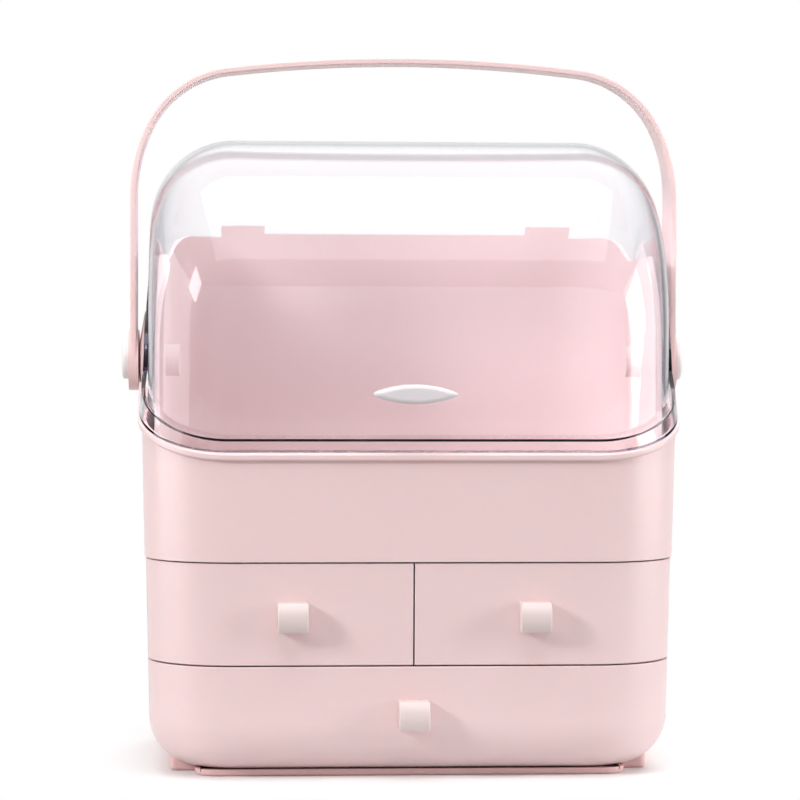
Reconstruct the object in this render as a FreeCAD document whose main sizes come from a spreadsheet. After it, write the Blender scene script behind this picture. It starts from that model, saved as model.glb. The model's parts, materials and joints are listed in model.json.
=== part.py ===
import FreeCAD, Part
import Sketcher
import os
from math import cos, pi, sin

# Vanity case with three drawers, a clear domed lid and a swinging strap handle.
# Millimetres. Origin on the floor under the middle of the case, +Z up, front towards -Y.

doc = FreeCAD.newDocument("VanityCase")
sizes = doc.addObject("Spreadsheet::Sheet", "Sizes")

DRIVING_SIZES = {
    # The case: a drafted block with rounded corners, largest at its rim.
    "rim_width": 288.8,  # outside width of the case at the front of its rim
    "case_depth": 220.0,  # outside depth at the front of the rim
    "rim_front": 173.5,  # height of the rim at the front face
    "rim_slope": 22.8,  # degrees that the rim rises from the front to the pivots
    "draft": 1.2,  # degrees that each side leans outwards
    "corner_radius": 46.5,  # upright corners, outside
    "base_radius": 26.7,  # rounding under the case
    "case_wall": 2.8,  # wall of the carcass and the tray
    "tray_overhang": 0.7,  # how far the tray stands out past the drawers under it
    "lower_seam": 61.0,  # height of the seam over the lower drawer
    "upper_seam": 116.1,  # height of the seam over the upper drawers
    "seam_gap": 0.8,  # open line between a drawer front and its neighbours
    "front_wrap": 42.0,  # how far the drawer fronts reach back round the corners
    "shelf_thickness": 2.4,  # shelf between the tiers, and the centre divider
    "case_top": 2.2,  # top panel of the carcass
    # The rim of the tray.
    "lip_proud": 2.2,  # how far the lip stands out from the tray
    "lip_depth": 3.4,  # depth of the lip, square to the rim
    "lip_rounding": 1.3,  # lower edge of the lip
    # The foot plate.
    "foot_height": 3.6,  # clear height under the case
    "foot_width": 258.5,  # width over the lugs
    "foot_lug_length": 134.0,  # length of the lugs, front to back
    "foot_lug_height": 11.0,  # lugs before they are cut to the case
    "nose_width": 231.5,  # width of the plate in front of the lugs
    "nose_length": 176.0,  # length of the plate, front to back
    "nose_radius": 11.0,  # upright corners of the nose
    "foot_rounding": 1.6,  # lower edge of the plate
    "foot_skin": 2.0,  # floor of the hollow plate
    "foot_rib": 3.0,  # rim left round the hollow
    # Drawers.
    "drawer_side_gap": 0.8,  # between a drawer tub and the mouth of its bay
    "slide_gap": 0.3,  # between a drawer tub and the floor that it slides on
    "tub_wall": 1.8,  # wall and floor of the drawer tubs
    "tub_headroom": 4.6,  # between a tub rim and the ceiling of its bay
    "stop_height": 3.0,  # rib that hangs at the mouth of each bay
    "stop_thickness": 2.5,  # thickness of that rib
    "drawer_travel": 120.0,  # how far a drawer opens before its stop
    "front_rounding": 0.5,  # edges of the drawer fronts
    # Knobs.
    "knob_width": 16.2,  # width of a knob
    "knob_height": 15.6,  # height of a knob
    "knob_reach": 12.0,  # how far a knob stands out
    "knob_crown": 12.0,  # radius of the convex face of a knob
    "knob_rounding": 0.9,  # edges of a knob
    "knob_stem": 4.0,  # radius of the stem through the drawer front
    "knob_spacing": 127.9,  # between the two upper knobs
    "upper_knob": 87.3,  # height of the upper knobs
    "lower_knob": 35.2,  # height of the lower knob
    # The clear lid.
    "lid_width": 283.0,  # outside width of the dome
    "lid_radius": 106.0,  # side outline of the dome
    "dome_height": 238.1,  # height of the centre of that outline
    "lid_rounding": 46.5,  # edge between the dome and its sides
    "lid_wall": 2.5,  # wall of the dome
    "lid_gap": 0.5,  # groove between the lid and the rim
    "lid_opening": 58.0,  # degrees that the lid turns open
    "skirt_wall": 2.4,  # wall of the skirt and ears
    "skirt_front": 109.8,  # front of the skirt at its shoulder
    "skirt_shoulder": 180.9,  # height of the shoulder at the front face
    "skirt_slope": 29.2,  # degrees that the shoulder rises towards the ears
    "skirt_flare": 5.0,  # degrees that the skirt spreads downwards
    "skirt_top": 215.0,  # height where the skirt is as narrow as the ears
    "ear_width": 289.0,  # outside width over the ears
    "ear_radius": 56.0,  # radius of the ears about the pivots
    "ear_blend": 15.0,  # hollow between an ear and the shoulder
    "lobe_radius": 16.0,  # lid left round its pivot bore
    # The pull tab on the lid.
    "tab_length": 48.0,  # length of the pull tab
    "tab_height": 10.4,  # height of the pull tab
    "tab_reach": 14.0,  # how far the pull tab stands out
    "tab_centre": 204.7,  # height of the pull tab
    "tab_rounding": 2.6,  # front edge of the pull tab
    # The liner inside the lid.
    "liner_gap": 4.3,  # between the liner and the inside of the tray
    "liner_clearance": 0.8,  # between the liner and the inside of the dome
    "liner_wall": 2.5,  # wall of the liner
    "liner_corner_slack": 1.0,  # upright corners of the liner, beyond the rounding inside the dome
    "liner_rise_start": 41.0,  # where the sides start to rise, behind the pivots
    "liner_reach": 111.8,  # largest distance of the liner from the pivots
    "liner_side_top": 279.0,  # height of the liner sides
    "liner_back_top": 293.1,  # height of the liner back
    "liner_front": 66.0,  # how far the liner sides reach in front of the pivots
    "liner_ear": 18.0,  # rounding of the front corner of the liner sides
    "liner_foot": 14.0,  # width of the foot flange of the liner
    "back_panel_rise": 2.0,  # middle of the liner back, above its ends
    "catch_span": 206.0,  # width over the two catches on the liner back
    "catch_width": 26.0,  # width of a catch
    "catch_rise": 6.6,  # height of a catch above the ends of the liner back
    # The pivots.
    "pivot_height": 221.1,  # height of the pivots
    "hub_radius": 27.4,  # wide end of the hub cone
    "hub_tip": 10.1,  # narrow end of the hub cone
    "hub_height": 3.1,  # height of the hub cone
    "hub_gap": 0.3,  # end play beside the lid ear and the handle eye
    "hub_notch": 0.6,  # open ring between the hub and the rim
    "spigot_radius": 6.0,  # spigot that the lid turns on
    "spigot_length": 10.8,  # length of the spigot
    "stub_radius": 5.0,  # stub that the handle turns on
    "running_fit": 0.1,  # radial clearance of both bearings
    "boss_radius": 9.0,  # boss inside the liner
    "boss_depth": 9.0,  # how far that boss stands inwards
    "screw_radius": 1.5,  # shank of every screw
    "screw_head": 3.2,  # radius of every screw head
    "screw_head_height": 1.5,  # height of every screw head
    "washer_radius": 7.0,  # pivot washer
    "washer_thickness": 0.6,  # pivot washer
    "cap_radius": 10.6,  # pivot cap
    "cap_height": 3.5,  # pivot cap
    "cap_rounding": 1.6,  # outer edge of the pivot cap
    # The handle.
    "handle_width": 305.4,  # outside width over the straight arms
    "handle_top": 390.4,  # height of the crown
    "strap": 3.4,  # thickness of the strap
    "crown_radius": 820.0,  # crown of the handle, outside
    "crown_angle": 6.9,  # degrees of the crown to each side
    "shoulder_angle": 64.5,  # degrees where the shoulder bend ends
    "arm_radius": 91.5,  # bend from the shoulder into the straight arm
    "arm_width": 34.0,  # width of the straight arms
    "grip_width": 21.0,  # width of the grip
    "taper_start": 285.0,  # height where the arms start to narrow
    "taper_length": 82.0,  # length of the narrowing
    "strap_rounding": 0.9,  # edges of the strap
    "eye_radius": 17.0,  # eyes of the handle
    "eye_thickness": 5.5,  # thickness of the eyes
    # Screws between the tray, the carcass and the foot plate.
    "tray_screw_x": 128.0,  # tray screws to each side of the middle
    "base_screw_x": 96.0,  # foot plate screws to each side of the middle
    "screw_row": 42.0,  # screws in front of and behind the middle
    "screw_boss": 4.5,  # bosses round those screws
    "tray_screw_grip": 2.3,  # tip of a tray screw under the carcass top
    "base_screw_grip": 2.4,  # tip of a foot plate screw in the carcass floor
    "foot_recess": 0.8,  # cover under the head of a foot plate screw
}

for row, (alias, number) in enumerate(DRIVING_SIZES.items(), start=1):
    sizes.set(f"A{row}", alias)
    sizes.set(f"B{row}", str(number))
    sizes.setAlias(f"B{row}", alias)
doc.recompute()

# Length of the cutting blocks, well past every side of the object.
REACH = 500
SIDES = (("left", -1), ("right", 1))


# ---------------------------------------------------------------- formulas
# Formulas are strings in the document's expression language, so that every
# object stays bound to the sheet.

def s(alias):
    return f"Sizes.{alias}"


def value(formula):
    return float(sizes.evalExpression(str(formula).replace("Sizes.", "")))


def half_width(height, inset):
    lean = f"(({height}) - {s('rim_front')}) * tan({s('draft')})"
    return f"({s('rim_width')} / 2 + {lean} - ({inset}))"


def half_depth(height, inset):
    lean = f"(({height}) - {s('rim_front')}) * tan({s('draft')})"
    return f"({s('case_depth')} / 2 + {lean} - ({inset}))"


PIVOT = s("pivot_height")
RIM_PEAK = f"({s('rim_front')} + {s('case_depth')} / 2 * tan({s('rim_slope')}))"
CASE_BOTTOM = s("foot_height")
SEAM_Y = f"(-{s('case_depth')} / 2 + {s('front_wrap')})"
CASE_FRONT = f"({SEAM_Y} + {s('seam_gap')} / 2)"
FRONTS_BACK = f"({SEAM_Y} - {s('seam_gap')} / 2)"
CARCASS_INNER = f"({s('tray_overhang')} + {s('case_wall')})"

# The mouth of the lowest bay lies where the corners have begun to turn in, so the tubs
# are narrower than the bays by that turn.
MOUTH_LEAD = f"max(0; {s('corner_radius')} - {half_depth(CASE_BOTTOM, 0)} - {CASE_FRONT})"
INNER_CORNER = f"({s('corner_radius')} - {CARCASS_INNER})"
MOUTH_TURN = f"({INNER_CORNER} - sqrt({INNER_CORNER} ^ 2 - {MOUTH_LEAD} ^ 2))"
DRAWER_INSET = f"({CARCASS_INNER} + {MOUTH_TURN} + {s('drawer_side_gap')})"
BAY_UNDERSIDE = f"({s('base_radius')} - {s('case_wall')})"
TUB_UNDERSIDE = f"({BAY_UNDERSIDE} - {s('slide_gap')})"

LOWER_FLOOR = f"({CASE_BOTTOM} + {s('case_wall')})"
LOWER_CEILING = f"({s('lower_seam')} - {s('shelf_thickness')} / 2)"
UPPER_FLOOR = f"({s('lower_seam')} + {s('shelf_thickness')} / 2)"
UPPER_CEILING = f"({s('upper_seam')} - {s('case_top')})"
TRAY_FLOOR = f"({s('upper_seam')} + {s('case_wall')})"

LINER_HALF = f"({s('lid_width')} / 2 - {s('lid_wall')} - {s('liner_clearance')})"
LINER_BACK = f"({s('case_depth')} / 2 - {s('case_wall')} - {s('liner_gap')})"

EAR_OUTER = f"({s('ear_width')} / 2)"
HUB_BASE = f"({EAR_OUTER} + {s('hub_gap')})"
HUB_TIP_X = f"({HUB_BASE} + {s('hub_height')})"
EYE_INNER = f"({HUB_TIP_X} + {s('hub_gap')})"
EYE_OUTER = f"({EYE_INNER} + {s('eye_thickness')})"
STUB_END = f"({EYE_OUTER} + {s('hub_gap')})"
SPIGOT_END = f"({HUB_BASE} - {s('spigot_length')})"
WASHER_END = f"({STUB_END} + {s('washer_thickness')})"
HEAD_END = f"({WASHER_END} + {s('screw_head_height')})"


# ---------------------------------------------------------------- builders

def bind(obj, **formulas):
    for name, formula in formulas.items():
        obj.setExpression(name, str(formula))
    return obj


def place(obj, x="0", y="0", z="0"):
    for axis, formula in (("x", x), ("y", y), ("z", z)):
        obj.setExpression(f"Placement.Base.{axis}", str(formula))
    return obj


def turn(obj, axis, formula):
    obj.Placement = FreeCAD.Placement(obj.Placement.Base, FreeCAD.Rotation(axis, 1))
    obj.setExpression("Placement.Rotation.Angle", str(formula))
    return obj


def box(name, x0, x1, y0, y1, z0, z1):
    block = doc.addObject("Part::Box", name)
    bind(block, Length=f"({x1}) - ({x0})", Width=f"({y1}) - ({y0})", Height=f"({z1}) - ({z0})")
    return place(block, x0, y0, z0)


def rod(name, radius, x0, x1, y="0", z=PIVOT):
    """A cylinder along X."""
    bar = doc.addObject("Part::Cylinder", name)
    bar.Placement = FreeCAD.Placement(FreeCAD.Vector(), FreeCAD.Rotation(FreeCAD.Vector(0, 1, 0), 90))
    bind(bar, Radius=radius, Height=f"({x1}) - ({x0})")
    return place(bar, x0, y, z)


def post(name, radius, x, y, z0, z1):
    """A cylinder along Z."""
    bar = doc.addObject("Part::Cylinder", name)
    bind(bar, Radius=radius, Height=f"({z1}) - ({z0})")
    return place(bar, x, y, z0)


def fuse(name, *parts):
    joined = doc.addObject("Part::MultiFuse", name)
    joined.Shapes = list(parts)
    joined.Refine = True
    return joined


def cut(name, base, *tools):
    for index, tool in enumerate(tools):
        step = name if index == len(tools) - 1 else f"{name}_step{index + 1}"
        result = doc.addObject("Part::Cut", step)
        result.Base = base
        result.Tool = tool
        result.Refine = True
        base = result
    return base


def common(name, *parts):
    overlap = doc.addObject("Part::MultiCommon", name)
    overlap.Shapes = list(parts)
    overlap.Refine = True
    return overlap


def origin_plane(body, role):
    return next(item for item in body.Origin.OriginFeatures if item.Role == role)


def outline(body, name, plane, corners, arcs=None, offset="0"):
    """A closed sketch through corners given as pairs of formulas.

    arcs maps a corner number to the radius of the arc that runs from it to the
    next corner; a positive radius turns to the left of that run.
    """
    arcs = arcs or {}
    sketch = body.newObject("Sketcher::SketchObject", name)
    sketch.AttachmentSupport = [(origin_plane(body, plane), "")]
    sketch.MapMode = "FlatFace"
    sketch.setExpression("AttachmentOffset.Base.z", str(offset))
    points = [FreeCAD.Vector(value(x), value(y), 0) for x, y in corners]
    ends = []
    for index, start in enumerate(points):
        finish = points[(index + 1) % len(points)]
        if index not in arcs:
            sketch.addGeometry(Part.LineSegment(start, finish))
            ends.append((1, 2))
            continue
        radius = value(arcs[index])
        along = finish - start
        side = FreeCAD.Vector(-along.y, along.x, 0).normalize() * (1 if radius > 0 else -1)
        drop = (radius ** 2 - (along.Length / 2) ** 2) ** 0.5
        middle = (start + finish) / 2 - side * (abs(radius) - drop)
        sketch.addGeometry(Part.Arc(start, middle, finish))
        ends.append((1, 2) if radius > 0 else (2, 1))
    for index, (first, last) in enumerate(ends):
        follower = (index + 1) % len(ends)
        sketch.addConstraint(Sketcher.Constraint("Coincident", index, last, follower, ends[follower][0]))
        x, y = corners[index]
        for kind, letter, formula in (("DistanceX", "x", x), ("DistanceY", "y", y)):
            number = sketch.addConstraint(Sketcher.Constraint(kind, -1, 1, index, first, value(formula)))
            sketch.renameConstraint(number, f"{letter}{index}")
            sketch.setExpression(f"Constraints.{letter}{index}", str(formula))
        if index in arcs:
            number = sketch.addConstraint(Sketcher.Constraint("Radius", index, abs(value(arcs[index]))))
            sketch.renameConstraint(number, f"radius{index}")
            sketch.setExpression(f"Constraints.radius{index}", f"abs({arcs[index]})")
    return sketch


def pad(body, sketch, length, both_ways=False, backwards=False):
    feature = body.newObject("PartDesign::Pad", f"{sketch.Name}_pad")
    feature.Profile = sketch
    feature.Midplane = both_ways
    feature.Reversed = backwards
    return bind(feature, Length=length)


def round_edges(body, feature, radius, test, name):
    """Round every edge of the feature that passes the test."""
    doc.recompute()
    edges = [f"Edge{n + 1}" for n, edge in enumerate(feature.Shape.Edges) if test(edge)]
    fillet = body.newObject("PartDesign::Fillet", name)
    fillet.Base = (feature, edges)
    return bind(fillet, Radius=radius)


def soften(name, base, radius, test):
    """A Part fillet over the edges of a boolean result that pass the test."""
    doc.recompute()
    fillet = doc.addObject("Part::Fillet", name)
    fillet.Base = base
    size = value(radius)
    fillet.Edges = [(n + 1, size, size) for n, edge in enumerate(base.Shape.Edges) if test(edge)]
    return fillet


def new_body(name):
    return doc.addObject("PartDesign::Body", name)


def spans(edge):
    bounds = edge.BoundBox
    return bounds.XLength, bounds.YLength, bounds.ZLength


def is_upright(edge):
    dx, dy, dz = spans(edge)
    return dz > dx + dy


def is_at_height(height):
    def test(edge):
        bounds = edge.BoundBox
        return abs(bounds.ZMin - height) < 0.01 and abs(bounds.ZMax - height) < 0.01
    return test


def drafted_block(name, inset, bottom, top, underside=None):
    """The case outline between two heights, moved inwards, with its lower edge rounded if asked."""
    body = new_body(name)
    wedge = body.newObject("PartDesign::AdditiveWedge", f"{name}_wedge")
    wedge.Placement = FreeCAD.Placement(FreeCAD.Vector(), FreeCAD.Rotation(FreeCAD.Vector(1, 0, 0), 90))
    bind(
        wedge,
        Ymin=bottom, Ymax=top,
        Xmin=f"-{half_width(bottom, inset)}", Xmax=half_width(bottom, inset),
        Zmin=f"-{half_depth(bottom, inset)}", Zmax=half_depth(bottom, inset),
        X2min=f"-{half_width(top, inset)}", X2max=half_width(top, inset),
        Z2min=f"-{half_depth(top, inset)}", Z2max=half_depth(top, inset),
    )
    radius = f"{s('corner_radius')} - ({inset})"
    corners = round_edges(body, wedge, radius, is_upright, f"{name}_corners")
    if underside:
        doc.recompute()
        round_edges(body, corners, underside, is_at_height(value(bottom)), f"{name}_underside")
    return body


def prism(name, corners, arcs=None):
    """A side outline (Y, Z) drawn right through the object along X."""
    body = new_body(name)
    pad(body, outline(body, f"{name}_side", "YZ_Plane", corners, arcs), REACH, both_ways=True)
    return body


def half_space(name, angle, drop, towards_back=False):
    """Everything more than a drop below a plane through the pivots.

    The plane rises by the angle from front to back, or falls with towards_back.
    """
    sign = -1 if towards_back else 1
    block = doc.addObject("Part::Box", name)
    bind(block, Length=REACH, Width=2 * REACH, Height=REACH)
    turn(block, FreeCAD.Vector(sign, 0, 0), angle)
    depth = f"(({drop}) + {REACH})"
    return place(
        block,
        -REACH / 2,
        f"{sign} * {depth} * sin({angle}) - {REACH} * cos({angle})",
        f"{PIVOT} - {sign} * {REACH} * sin({angle}) - {depth} * cos({angle})",
    )


def side_rod(name, side, radius, near, far):
    """A cylinder on the pivot axis, on the right (side 1) or the left (side -1)."""
    if side > 0:
        return rod(name, radius, near, far)
    return rod(name, radius, f"-({far})", f"-({near})")


def both_rods(name, radius, near, far):
    return fuse(name, *[side_rod(f"{name}_{word}", side, radius, near, far) for word, side in SIDES])


def pin(name, radius, x, z, y0, y1):
    """A cylinder along Y."""
    bar = doc.addObject("Part::Cylinder", name)
    bar.Placement = FreeCAD.Placement(FreeCAD.Vector(), FreeCAD.Rotation(FreeCAD.Vector(1, 0, 0), -90))
    bind(bar, Radius=radius, Height=f"({y1}) - ({y0})")
    return place(bar, x, y0, z)


nodes = {}


def keep(name, obj):
    obj.Label = name
    nodes[name] = obj
    return obj


# ---------------------------------------------------------------- carcass

case_block = drafted_block(
    "case_block", s("tray_overhang"), CASE_BOTTOM, s("upper_seam"), s("base_radius")
)
behind_fronts = box("behind_fronts", -REACH / 2, REACH / 2, CASE_FRONT, REACH / 2, 0, REACH)
lower_bay = drafted_block("lower_bay", CARCASS_INNER, LOWER_FLOOR, LOWER_CEILING, BAY_UNDERSIDE)
upper_bays = drafted_block("upper_bays", CARCASS_INNER, UPPER_FLOOR, UPPER_CEILING)
half_shelf = f"({s('shelf_thickness')} / 2)"
divider = box("divider", f"-{half_shelf}", half_shelf, -REACH / 2, REACH / 2, 0, REACH)
stop_ribs = fuse("stop_ribs", *[
    box(f"{name}_rib", -REACH / 2, REACH / 2, CASE_FRONT, f"{CASE_FRONT} + {s('stop_thickness')}",
        f"{ceiling} - {s('stop_height')}", ceiling)
    for name, ceiling in (("lower", LOWER_CEILING), ("upper", UPPER_CEILING))
])
bays = cut("bays", fuse("bay_blocks", lower_bay, cut("split_bays", upper_bays, divider)), stop_ribs)
carcass = cut("carcass", common("carcass_block", case_block, behind_fronts), bays)


def screw_places(spacing):
    for row, y_sign in (("front", -1), ("back", 1)):
        for word, x_sign in SIDES:
            yield f"{row}_{word}", f"{x_sign} * {spacing}", f"{y_sign} * {s('screw_row')}"


def posts(name, spacing, radius, z0, z1):
    return fuse(name, *[
        post(f"{name}_{corner}", radius, x, y, z0, z1) for corner, x, y in screw_places(spacing)
    ])


TRAY_SPACING = s("tray_screw_x")
BASE_SPACING = s("base_screw_x")
LINER_SEAT = f"({TRAY_FLOOR} + {s('liner_wall')})"
TRAY_TIP = f"({UPPER_CEILING} - {s('tray_screw_grip')})"
BASE_TIP = f"({CASE_BOTTOM} + {s('base_screw_grip')})"
tray_holes = posts("tray_holes", TRAY_SPACING, s("screw_radius"), TRAY_TIP, LINER_SEAT)
base_holes = posts("base_holes", BASE_SPACING, s("screw_radius"), 0, BASE_TIP)
tray_bosses = posts("tray_bosses", TRAY_SPACING, s("screw_boss"), TRAY_TIP, UPPER_CEILING)
bossed_carcass = fuse("bossed_carcass", carcass, tray_bosses)
keep("drawer_case", cut("drawer_case", bossed_carcass, tray_holes, base_holes))


# ---------------------------------------------------------------- foot plate

BASE_HEAD = f"({s('foot_recess')} + {s('screw_head_height')})"
half_nose = f"({s('nose_width')} / 2)"
half_foot = f"({s('foot_width')} / 2)"
nose_reach = f"({s('nose_length')} / 2)"
lug_reach = f"({s('foot_lug_length')} / 2)"


def plate_block(name, half_x, half_y, height, radius):
    body = new_body(name)
    block = body.newObject("PartDesign::AdditiveBox", f"{name}_block")
    bind(block, Length=f"2 * {half_x}", Width=f"2 * {half_y}", Height=height)
    place(block, f"-{half_x}", f"-{half_y}", 0)
    corners = round_edges(body, block, radius, is_upright, f"{name}_corners")
    round_edges(body, corners, s("foot_rounding"), is_at_height(0), f"{name}_underside")
    return body


nose = plate_block("nose", half_nose, nose_reach, CASE_BOTTOM, s("nose_radius"))
lugs = plate_block("lugs", half_foot, lug_reach, s("foot_lug_height"), s("foot_rib"))
rib = s("foot_rib")
hollow = box(
    "foot_hollow",
    f"-{half_nose} + {rib}", f"{half_nose} - {rib}",
    f"-{nose_reach} + {rib}", f"{nose_reach} - {rib}",
    s("foot_skin"), CASE_BOTTOM,
)
foot_bosses = posts("foot_bosses", BASE_SPACING, s("screw_boss"), 0, CASE_BOTTOM)
foot_shell = fuse("foot_shell", cut("hollow_foot", fuse("foot_blocks", nose, lugs), hollow), foot_bosses)
base_sinks = posts("base_sinks", BASE_SPACING, s("screw_head"), 0, BASE_HEAD)
keep("base_plate", cut("base_plate", foot_shell, case_block, base_holes, base_sinks))
base_heads = posts("base_heads", BASE_SPACING, s("screw_head"), s("foot_recess"), BASE_HEAD)
base_shanks = posts("base_shanks", BASE_SPACING, s("screw_radius"), BASE_HEAD, BASE_TIP)
keep("base_screws", fuse("base_screws", base_heads, base_shanks))


# ---------------------------------------------------------------- tray

RIM_SLOPE = s("rim_slope")
RIM_DROP = f"(({PIVOT} - {RIM_PEAK}) * cos({RIM_SLOPE}))"
LIP_DROP = f"({RIM_DROP} + {s('lip_depth')})"
TRAY_TOP = f"({RIM_PEAK} + {s('lip_depth')})"
LIP_BLOCK_FOOT = f"({s('rim_front')} - 3 * {s('lip_depth')})"


def under_roof(name, drop):
    """The space under two planes that slope down from the pivots to the front and the back."""
    front = half_space(f"{name}_front", RIM_SLOPE, drop)
    back = half_space(f"{name}_back", RIM_SLOPE, drop, towards_back=True)
    return common(name, front, back)


under_rim = under_roof("under_rim", RIM_DROP)
under_lip = under_roof("under_lip", LIP_DROP)
tray_block = drafted_block("tray_block", "0", s("upper_seam"), TRAY_TOP)
lip_block = drafted_block("lip_block", f"-{s('lip_proud')}", LIP_BLOCK_FOOT, TRAY_TOP)
lip_split = box("lip_split", -REACH / 2, REACH / 2, "-" + s("lobe_radius"), s("lobe_radius"), 0, REACH)
lip_band = cut("lip_band", common("lip_under_rim", lip_block, under_rim), under_lip, lip_split)


def drop_below_pivots(point):
    slope = value(RIM_SLOPE) * pi / 180
    return (value(PIVOT) - point.z) * cos(slope) - abs(point.y) * sin(slope)


def on_lower_lip(edge):
    depth = value(LIP_DROP)
    ends = [vertex.Point for vertex in edge.Vertexes]
    middle = edge.valueAt((edge.FirstParameter + edge.LastParameter) / 2)
    runs_across = spans(edge)[0] > value(s("rim_width")) / 2 and abs(middle.y) < value(s("hub_radius"))
    return all(abs(drop_below_pivots(point) - depth) < 0.01 for point in ends + [middle]) and not runs_across


lip = soften("lip", lip_band, s("lip_rounding"), on_lower_lip)
tray_cavity = drafted_block("tray_cavity", s("case_wall"), TRAY_FLOOR, f"{TRAY_TOP} + 1")
hub_notches = rod("hub_notches", f"{s('hub_radius')} + {s('hub_notch')}", -REACH / 2, REACH / 2)
tray_outer = fuse("tray_outer", common("tray_under_rim", tray_block, under_rim), lip)
keep("upper_tray", cut("upper_tray", tray_outer, tray_cavity, hub_notches, tray_holes))

tray_heads = posts(
    "tray_heads", TRAY_SPACING, s("screw_head"), LINER_SEAT, f"{LINER_SEAT} + {s('screw_head_height')}"
)
tray_shanks = posts("tray_shanks", TRAY_SPACING, s("screw_radius"), TRAY_TIP, LINER_SEAT)
keep("tray_screws", fuse("tray_screws", tray_heads, tray_shanks))


# ---------------------------------------------------------------- liner

LID_INNER = f"({s('lid_radius')} - {s('lid_wall')})"
DRUM_ROUNDING = f"({s('lid_rounding')} - {s('lid_wall')})"
LINER_CORNER = f"({DRUM_ROUNDING} + {s('liner_corner_slack')})"


def drum(name, radius, inset):
    """A round-edged drum on the pivot axis that keeps the liner clear of the turning lid."""
    body = new_body(name)
    half = f"({LINER_HALF} - ({inset}))"
    core = body.newObject("PartDesign::AdditiveCylinder", f"{name}_core")
    core.Placement = FreeCAD.Placement(FreeCAD.Vector(), FreeCAD.Rotation(FreeCAD.Vector(0, 1, 0), 90))
    bind(core, Radius=f"{radius} - ({inset})", Height=f"2 * {half}")
    place(core, f"-{half}", 0, PIVOT)

    def is_rim(edge):
        return spans(edge)[0] < 0.01

    round_edges(body, core, f"{DRUM_ROUNDING} - ({inset})", is_rim, f"{name}_edges")
    return body


def liner_form(name, inset, bottom):
    body = new_body(f"{name}_plan")
    half_x = f"({LINER_HALF} - ({inset}))"
    half_y = f"({LINER_BACK} - ({inset}))"
    block = body.newObject("PartDesign::AdditiveBox", f"{name}_block")
    bind(block, Length=f"2 * {half_x}", Width=f"2 * {half_y}", Height=REACH)
    place(block, f"-{half_x}", f"-{half_y}", bottom)
    round_edges(body, block, f"{LINER_CORNER} - ({inset})", is_upright, f"{name}_corners")
    back_drum = drum(f"{name}_back_drum", s("liner_reach"), inset)
    back_half = box(f"{name}_back_half", -REACH / 2, REACH / 2, 0, REACH, 0, REACH)
    front_drum = drum(f"{name}_front_drum", f"{LID_INNER} - {s('liner_clearance')}", inset)
    below = box(f"{name}_below", -REACH / 2, REACH / 2, -REACH / 2, REACH / 2, 0, PIVOT)
    limit = fuse(f"{name}_limit", common(f"{name}_back_limit", back_drum, back_half), front_drum, below)
    return common(name, body, limit)


liner_outer = liner_form("liner_outer", "0", TRAY_FLOOR)
liner_inner = liner_form("liner_inner", s("liner_wall"), LINER_SEAT)

side_top = s("liner_side_top")
back_top = s("liner_back_top")
ear = s("liner_ear")
liner_front = f"(-{s('liner_front')})"
rise = f"({back_top} - {side_top})"
rise_start = s("liner_rise_start")
liner_outline = prism(
    "liner_outline",
    [
        (liner_front, 0),
        (REACH / 2, 0),
        (REACH / 2, back_top),
        (f"{rise_start} + 2 * {rise}", back_top),
        (f"{rise_start} + {rise}", f"({side_top} + {back_top}) / 2"),
        (rise_start, side_top),
        (f"{liner_front} + {ear}", side_top),
        (liner_front, f"{side_top} - {ear}"),
    ],
    arcs={3: f"1.25 * {rise}", 4: f"-1.25 * {rise}", 6: ear},
)
half_catches = f"({s('catch_span')} / 2)"
half_panel = f"({half_catches} - {s('catch_width')})"
catches = box(
    "catches", f"-{half_catches}", half_catches, rise_start, REACH / 2, 0, f"{back_top} + {s('catch_rise')}"
)
between_catches = box("between_catches", f"-{half_panel}", half_panel, rise_start, REACH / 2, back_top, REACH)
back_panel = box(
    "back_panel", f"-{half_panel}", half_panel, rise_start, REACH / 2, 0, f"{back_top} + {s('back_panel_rise')}"
)
liner_profile = fuse("liner_profile", liner_outline, cut("both_catches", catches, between_catches), back_panel)
liner_shape = common("liner_shape", liner_outer, liner_profile)
foot_opening = box(
    "foot_opening",
    f"-{LINER_HALF} + {s('liner_foot')}", f"{LINER_HALF} - {s('liner_foot')}",
    -REACH / 2, f"{LINER_BACK} - {s('liner_foot')}",
    0, LINER_SEAT,
)
BOSS_INNER = f"({LINER_HALF} - {s('liner_wall')} - {s('boss_depth')})"
BOSS_OUTER = f"({EAR_OUTER} - {s('skirt_wall')} - {s('hub_gap')})"
SCREW_END = f"({BOSS_INNER} + {s('screw_radius')})"
pivot_bosses = both_rods("pivot_bosses", s("boss_radius"), BOSS_INNER, BOSS_OUTER)
pivot_bores = both_rods("pivot_bores", s("spigot_radius"), SPIGOT_END, BOSS_OUTER)
pivot_pilots = both_rods("pivot_pilots", s("screw_radius"), SCREW_END, SPIGOT_END)
liner_shell = cut("liner_shell", liner_shape, liner_inner, foot_opening)
bossed_liner = fuse("bossed_liner", liner_shell, pivot_bosses)
keep("rear_shell", cut("rear_shell", bossed_liner, pivot_bores, pivot_pilots, tray_holes))


# ---------------------------------------------------------------- clear lid

LID_FOOT = f"({s('rim_front')} - {s('lid_wall')} - {s('lip_depth')})"
LID_DROP = f"({RIM_DROP} - {s('lid_gap')})"
SHOULDER = s("skirt_slope")


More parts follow.
